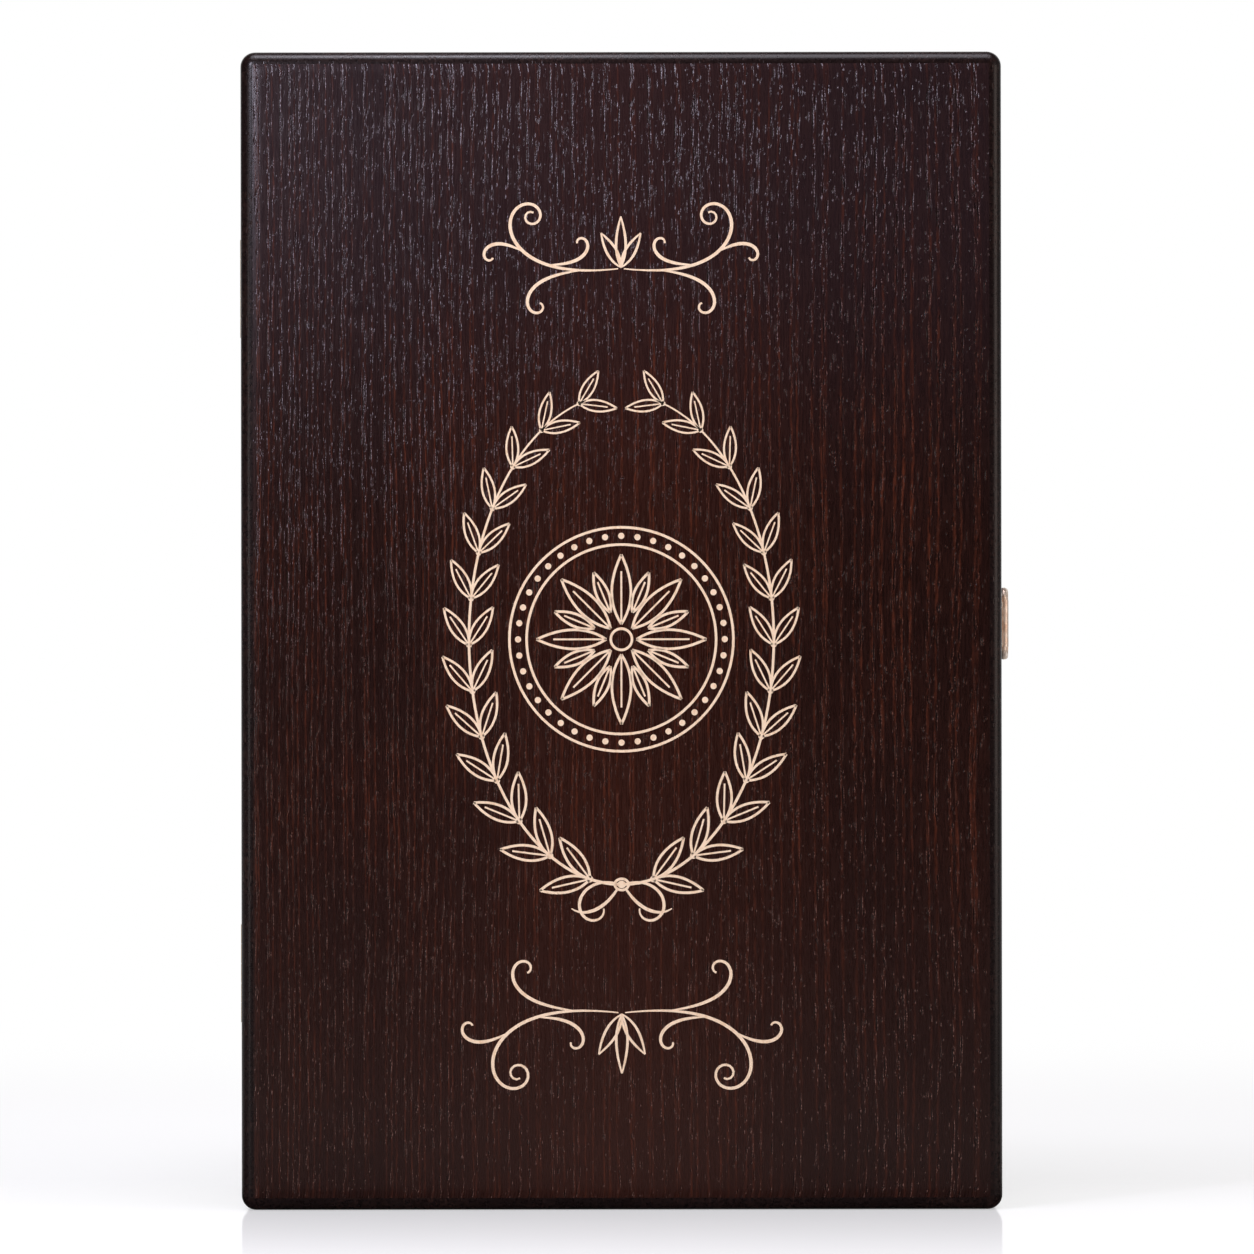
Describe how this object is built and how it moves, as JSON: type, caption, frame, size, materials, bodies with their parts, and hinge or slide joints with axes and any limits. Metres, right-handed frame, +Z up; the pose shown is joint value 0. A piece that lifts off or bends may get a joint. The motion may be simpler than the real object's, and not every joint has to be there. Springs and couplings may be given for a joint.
{
  "type": "presentation box",
  "caption": "Upright veneered presentation box with a hinged front lid, velvet lining and a wire bail clasp, for papers and keepsakes.",
  "frame": {"origin": "middle of the short end that the box stands on, at mid width and mid depth", "axes": "+Z up the height of the standing box, the lid's face towards -Y, the clasp towards +X"},
  "size_m": [0.2362, 0.1, 0.35],
  "materials": {
    "stained_board": "dark stain under satin lacquer",
    "veneer_face": "open-pored veneer, dark stain under satin lacquer",
    "lining_card": "plain grey card",
    "lining_velvet": "short velvet pile",
    "clasp_metal": "satin rose bronze plating",
    "hinge_metal": "satin brass"
  },
  "bodies": {
    "base": {"back_panel": "stained_board", "base_wall_hinge_side": "stained_board", "base_wall_clasp_side": "stained_board", "base_wall_top": "stained_board", "base_wall_bottom": "stained_board", "liner_hinge_side": "lining_velvet", "liner_clasp_side": "lining_velvet", "liner_top": "lining_velvet", "liner_bottom": "lining_velvet", "floor_lining_card": "lining_card", "floor_lining_pad": "lining_velvet", "upper_hinge_base_leaf": "hinge_metal", "lower_hinge_base_leaf": "hinge_metal", "upper_hinge_pin": "hinge_metal", "lower_hinge_pin": "hinge_metal", "base_hinge_screws": "hinge_metal", "keeper_plate": "clasp_metal", "keeper_nails": "clasp_metal"},
    "lid": {"lid_panel": "stained_board", "lid_veneer": "veneer_face", "lid_wall_hinge_side": "stained_board", "lid_wall_clasp_side": "stained_board", "lid_wall_top": "stained_board", "lid_wall_bottom": "stained_board", "lid_lining_card": "lining_card", "lid_lining_pad": "lining_velvet", "upper_hinge_lid_leaf": "hinge_metal", "lower_hinge_lid_leaf": "hinge_metal", "lid_hinge_screws": "hinge_metal", "clasp_plate": "clasp_metal", "clasp_plate_nails": "clasp_metal"},
    "bail": {"clasp_bail": "clasp_metal"}
  },
  "joints": [
    {"name": "lid_hinge", "type": "hinge", "parent": "base", "child": "lid", "pos_m": [-0.11525, -0.017, 0.175], "axis": [0, 0, -1], "range_deg": [0, 180]},
    {"name": "bail_swing", "type": "hinge", "parent": "lid", "child": "bail", "pos_m": [0.11675, -0.025, 0.177], "axis": [0, 0, -1], "range_deg": [-4.8, 165]}
  ]
}
